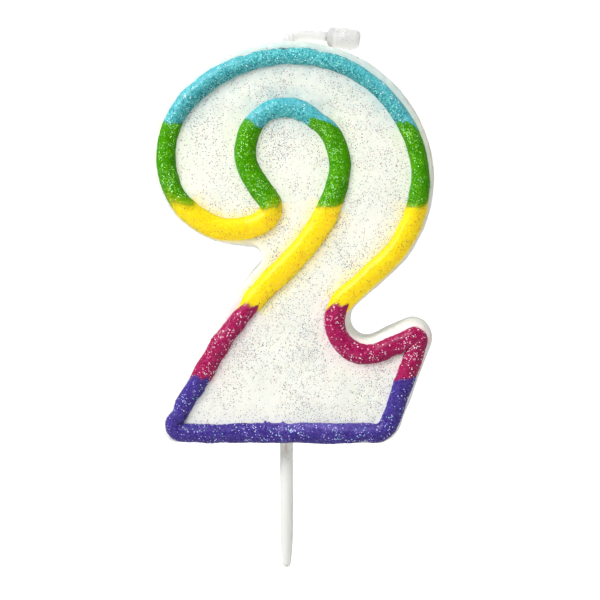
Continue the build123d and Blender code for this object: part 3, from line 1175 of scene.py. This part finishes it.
def pick_profile():
    """Radius and height up the pick, from its blunt end to the top of its anchor."""
    lean = math.degrees(math.acos((TAPER_RADIUS - PICK_RADIUS) / (TAPER_RADIUS - PICK_END_RADIUS)))
    taper_centre = np.array([PICK_RADIUS - TAPER_RADIUS, -PICK_STRAIGHT])
    end_centre = taper_centre + unit(-lean) * (TAPER_RADIUS - PICK_END_RADIUS)
    steps = [end_centre + unit(a) * PICK_END_RADIUS for a in np.linspace(-88, -lean, 9)]
    steps += [taper_centre + unit(a) * TAPER_RADIUS for a in np.linspace(-lean, 0, 26)[1:]]
    steps += [(PICK_RADIUS, z) for z in np.arange(-PICK_STRAIGHT + 0.3, -0.1, 0.3)]
    steps += [(PICK_RADIUS, 0.0), (NECK_RADIUS, 0.02), (NECK_RADIUS, BARB_GAP - 0.02)]
    for barb in range(BARB_COUNT):
        low = BARB_GAP + barb * BARB_PITCH
        steps += [(ANCHOR_RADIUS, low), (BARB_RADIUS, low + 0.02)]
        steps += [(ANCHOR_RADIUS, low + BARB_LENGTH)]
    steps += [(ANCHOR_RADIUS, ANCHOR_LENGTH - 0.2), (ANCHOR_RADIUS - 0.2, ANCHOR_LENGTH)]
    return np.array(steps)


# Grey specks on the pick under the wax: where, and how wide
PICK_SPECKS = [
    (0.25, -2.2, 0.10), (-0.1, -3.1, 0.12), (0.35, -3.5, 0.09), (0.05, -4.2, 0.10),
    (-0.3, -1.2, 0.08),
]


def make_pick():
    """The moulded plastic pick, with a parting line down two sides."""
    profile = pick_profile()
    radius, height = (np.repeat(profile[:, i], PICK_COLUMNS) for i in (0, 1))
    turn = np.tile(np.linspace(0, 2 * math.pi, PICK_COLUMNS, endpoint=False), len(profile))
    off_seam = np.abs((turn - PICK_SEAM + math.pi / 2) % math.pi - math.pi / 2)
    ridge = 0.03 * np.exp(-((off_seam * radius / 0.09) ** 2)) * (height < 0)
    points = np.column_stack([radius * np.cos(turn), radius * np.sin(turn), height])
    grow = ridge + (0.012 * field(points * [1, 1, 0.3], 1.6, 51)) * (height < 0)
    points += np.column_stack([np.cos(turn), np.sin(turn), np.zeros(len(turn))]) * grow[:, None]
    piece = new_piece("pick_moulded", points, tube_faces(len(profile), PICK_COLUMNS), [plastic])
    at_front = points[:, 1] < 0
    smear = np.exp(-(((points[:, 0] + 0.02) / 0.16) ** 2) - ((height + 1.5) / 0.8) ** 2) * at_front
    paint = 1 - smear[:, None] * np.array([0.22, 0.42, 0.44])
    # Painted light: the plastic is whiter towards its right, away from the lamp, and darker towards
    # its left, to even out its shading
    paint = paint * (1 + 0.07 * points[:, :1] / PICK_RADIUS)
    for x, z, wide in PICK_SPECKS:
        speck = np.exp(-((points[:, 0] - x) ** 2 + (height - z) ** 2) / wide**2) * at_front
        paint = paint * (1 - 0.5 * speck[:, None])
    set_colour(piece.data, "paint", paint)
    clean(piece, 0.0005)
    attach(piece, "candle")
    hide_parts("cake_pick")
    return piece


wick = make_wick()
make_braid()
pick = make_pick()
braid_in_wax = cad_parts["wick_braid_in_wax"].data
braid_in_wax.materials.clear()
braid_in_wax.materials.append(cotton)


# ---- glitter


# How far a flake's middle stands off the surface, and half its thickness
FLAKE_LIFT = 0.012
FLAKE_HALF = 0.022


def surface_spots(piece, density, seed):
    """Random points and normals on a piece: density gives spots per square millimetre."""
    draw = np.random.default_rng(seed)
    mesh = piece.data
    mesh.calc_loop_triangles()
    corners = np.empty(len(mesh.loop_triangles) * 3, np.int32)
    mesh.loop_triangles.foreach_get("vertices", corners)
    points = coordinates(mesh)[corners.reshape(-1, 3)]
    cross = np.cross(points[:, 1] - points[:, 0], points[:, 2] - points[:, 0])
    doubled = np.linalg.norm(cross, axis=1)
    normals = cross / np.maximum(doubled, 1e-12)[:, None]
    expected = density(points.mean(axis=1), normals) * doubled / 2
    count = np.floor(expected + draw.random(len(expected))).astype(int)
    chosen = np.repeat(np.arange(len(expected)), count)
    a, b = np.sqrt(draw.random(len(chosen))), draw.random(len(chosen))
    shares = np.column_stack([1 - a, a * (1 - b), a * b])
    return np.einsum("ij,ijk->ik", shares, points[chosen]), normals[chosen]


def make_flakes(name, spots, normals, radii, tilt, kinds, seed, body="candle"):
    """Six-sided foil flakes lying on the surface at each spot, tilted at random."""
    draw = np.random.default_rng(seed)
    count = len(spots)
    lean = normals + draw.normal(size=(count, 3)) * tilt
    lean /= np.linalg.norm(lean, axis=1, keepdims=True)
    spots = spots + normals * FLAKE_LIFT
    helper = np.where(np.abs(lean[:, :1]) < 0.8, [[1.0, 0, 0]], [[0, 0, 1.0]])
    first = np.cross(lean, helper)
    first /= np.linalg.norm(first, axis=1, keepdims=True)
    second = np.cross(lean, first)
    radius = draw.uniform(*radii, count)[:, None]
    start = draw.uniform(0, math.pi, count)
    ring = []
    for corner in range(6):
        angle = (start + corner * math.pi / 3)[:, None]
        ring.append(spots + (first * np.cos(angle) + second * np.sin(angle)) * radius)
    ring += [spots + lean * FLAKE_HALF, spots - lean * FLAKE_HALF]
    points = np.stack(ring, axis=1).reshape(-1, 3)
    pattern = [(c, (c + 1) % 6, 6) for c in range(6)] + [((c + 1) % 6, c, 7) for c in range(6)]
    base = (np.arange(count) * 8)[:, None, None]
    faces = (base + np.array(pattern)[None]).reshape(-1, 3)
    piece = new_piece(name, points, faces.tolist(), [foil[kind] for kind, _ in kinds], smooth=False)
    shares = np.array([share for _, share in kinds], float)
    pick_kind = draw.choice(len(kinds), count, p=shares / shares.sum())
    piece.data.polygons.foreach_set("material_index", np.repeat(pick_kind, 12).astype(np.int32))
    piece.data.update()
    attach(piece, body)
    return piece


rim_tree = tree_of(trace(wax_loop, BASE_LEFT, margin=FRONT_MARGIN)[0])


# Where there is less glitter on the white wax: where, and how wide. The rounded rim has next to
# none, and on the wick it starts at the dipped end.
BARE_PATCHES = [(-14.7, 50.0, 40.0), (-11.0, 7.0, 45.0)]
BARE_RIM = 1.35
DIP_FROM = 7.4
# Mostly dark foils for the glitter in the white wax: the same glitter as on the beads, darkened as
# a painted dark reflection
SPECKS = [
    ("violet", 3), ("grey", 3), ("slate", 1.5), ("mauve", 2), ("silver", 1), ("ice blue", 0.5),
]


def numeral_density(front):
    """The glitter in the white wax: its face, or its sides and back, but not under the beads."""

    def density(points, normals):
        facing = normals[:, 1] < -0.7
        gap, _ = nearest_bead(points)
        patch = 1 + 0.40 * field(points, 9.0, 61) + 0.25 * field(points, 2.6, 62)
        rate = 5.0 * np.clip(patch, 0.3, 3.0)
        for x, z, wide in BARE_PATCHES:
            rate *= 1 - 0.55 * np.exp(-((points[:, 0] - x) ** 2 + (points[:, 2] - z) ** 2) / wide)
        rim = np.array([rim_tree.find((x, z, 0.0))[2] for x, _, z in points])
        rate *= np.where(facing & (rim < BARE_RIM), 0.04, 1.0)
        rate = np.where(facing == front, rate, 0.0)
        rate = np.where((gap < 0.05) & facing, 0.0, rate)
        return rate if front else rate * np.where(normals[:, 1] > 0.7, 0.3, 0.06)

    return density


for place, front, seed in (("front", True, 71), ("sides_and_back", False, 72)):
    spots, normals = surface_spots(numeral, numeral_density(front), seed)
    make_flakes("glitter_on_wax_" + place, spots, normals, (0.042, 0.10), 0.25, SPECKS, seed + 10)

# Flakes per square millimetre on each dye, their smallest and largest radius, and their foils. The
# foils are tinted to the dye and pale on all but the yellow, painted glints of the same glitter
# that gets dark foils on the white wax
SPARKLES = {
    "turquoise": (
        5.0, (0.045, 0.125), [("ice blue", 4), ("silver", 1), ("sea blue", 2.5), ("jade", 3)]
    ),
    "green": (4.0, (0.045, 0.12), [("lime", 4), ("mint", 4.5)]),
    "yellow": (4.2, (0.045, 0.10), [("amber", 4), ("umber", 4)]),
    "magenta": (3.0, (0.05, 0.13), [("rose", 5), ("silver", 2.0), ("violet", 1.0)]),
    "purple": (1.7, (0.05, 0.13), [("lilac", 5), ("ice blue", 1.2), ("silver", 0.5)]),
}


def bead_density(dye, rate):
    """The glitter on a bead: patchy, on the greens thinner where the surface turns from the front,
    and placed by the lamp as painted shade and painted glints.
    """

    def density(points, normals):
        patch = np.clip(1 + 0.5 * field(points, 5.0, 63) + 0.6 * field(points, 1.6, 64), 0.05, 3.5)
        above = points[:, 1] < FRONT_Y - 0.1
        if dye == "yellow":
            # Painted shade: more of the dark flakes down the yellow's side away from the lamp
            lower_right = 0.55 * normals[:, 0] - 0.75 * normals[:, 2]
            above = above * np.clip(0.35 + 1.5 * lower_right, 0.1, 2.0)
        if dye == "green":
            patch = np.clip(patch, 0.45, 2.2)
            above = above * np.clip((-normals[:, 1] - 0.6) / 0.28, 0.2, 1.3)
            # Painted glints: on the greens right of the middle, more flakes on the side that faces
            # the lamp
            inner = np.clip(1.3 - 2.2 * normals[:, 0], 0.3, 2.0)
            above = np.where(points[:, 0] > 2.0, above * inner, above)
        return rate * patch * above

    return density


for index, piece in enumerate(beads):
    node, dye = BANDS[index]
    rate, radii, kinds = SPARKLES[dye]
    tilt = 0.42 if dye == "green" else 0.22
    name, slot = "glitter_on_" + node, dye + "_wax"
    spots, normals = surface_spots(piece, bead_density(dye, rate), 80 + index)
    make_flakes(name, spots, normals, radii, tilt, kinds, 100 + index)


# Mostly dark foils on the wick too, as a painted dark reflection
WICK_SPECKS = [("grey", 4), ("violet", 2), ("silver", 1)]


def dip_density(points, normals):
    """A few flakes on the wick's dipped end, and none on the rest of it."""
    return 0.8 * (points[:, 0] > DIP_FROM)


name = "glitter_on_wick"
spots, normals = surface_spots(wick, dip_density, 130)
make_flakes(name, spots, normals, (0.05, 0.11), 0.3, WICK_SPECKS, 131, "wick")


# ---- studio


def make_floor():
    """A white floor at the pick's tip, brighter to the camera than to the candle."""
    lowest = min(vertex.co.z for vertex in pick.data.vertices)
    half = 3.0
    mesh = bpy.data.meshes.new("studio_floor")
    corners = [(-half, -half), (half, -half), (half, half), (-half, half)]
    mesh.from_pydata([(x, y, lowest) for x, y in corners], [], [(0, 1, 2, 3)])
    floor = placed("studio_floor", mesh)
    n = new_material("studio floor")
    seen = n.between(n.node("LightPath").outputs["Is Camera Ray"], 0.0, 1.0, 0.05, 0.85)
    n.finish(Base_Color=(0.62, 0.62, 0.62), Roughness=0.9)
    n.finish(Emission_Color=(1.0, 1.0, 1.0), Emission_Strength=seen)
    n.shader.inputs["Specular IOR Level"].default_value = 0.0
    mesh.materials.append(n.owner)


def make_world():
    """Light from all round, less from behind the viewer and from the left, and a plain backdrop."""
    n = Nodes(bpy.data.worlds.new("studio"))
    axes = n.node("SeparateXYZ", Vector=n.places["Generated"]).outputs
    glow = n.between(axes["Y"], -1.0, 0.25, 0.19, 0.86)
    left = n.between(axes["X"], -1.0, 0.0, 0.62, 1.0)
    overhead = n.between(axes["Z"], 0.1, 0.95, 0.45, 1.3)
    ray = n.node("LightPath").outputs
    mirrored = n.between(ray["Is Glossy Ray"], 0.0, 1.0, 1.0, overhead)
    lit = n.product(n.product(glow, left), mirrored)
    background = n.tree.nodes["Background"]
    background.inputs["Color"].default_value = (1.0, 1.0, 1.0, 1.0)
    n.put(background.inputs["Strength"], n.between(ray["Is Camera Ray"], 0.0, 1.0, lit, 1.1))
    bpy.context.scene.world = n.owner


def make_light(name, place, aim, size, power):
    light = bpy.data.lights.new(name, "AREA")
    light.size = size
    light.energy = power
    lamp = placed(name, light)
    lamp.location = place
    lamp.rotation_euler = (Vector(aim) - Vector(place)).to_track_quat("-Z", "Y").to_euler()


def make_camera():
    """The photo's view: from a little to the right and above, with the wax's front in frame."""
    eye = Vector((0.01336, -0.273, 0.04049))
    aim = Vector((0.00272, -0.005, 0.0265))
    half_seen = 0.05505
    half_sensor = 18.0
    data = bpy.data.cameras.new("camera")
    data.sensor_width = 2 * half_sensor
    data.lens = half_sensor * (aim - eye).length / half_seen
    data.clip_start, data.clip_end = 0.01, 20.0
    camera = placed("camera", data)
    camera.location = eye
    camera.rotation_euler = (aim - eye).to_track_quat("-Z", "Y").to_euler()
    bpy.context.scene.camera = camera


make_floor()
make_world()
make_light("key", (-0.36, -0.42, 0.46), (0.0, 0.0, 0.035), 0.34, 5.15)
make_camera()
bpy.context.scene.view_settings.view_transform = "Standard"
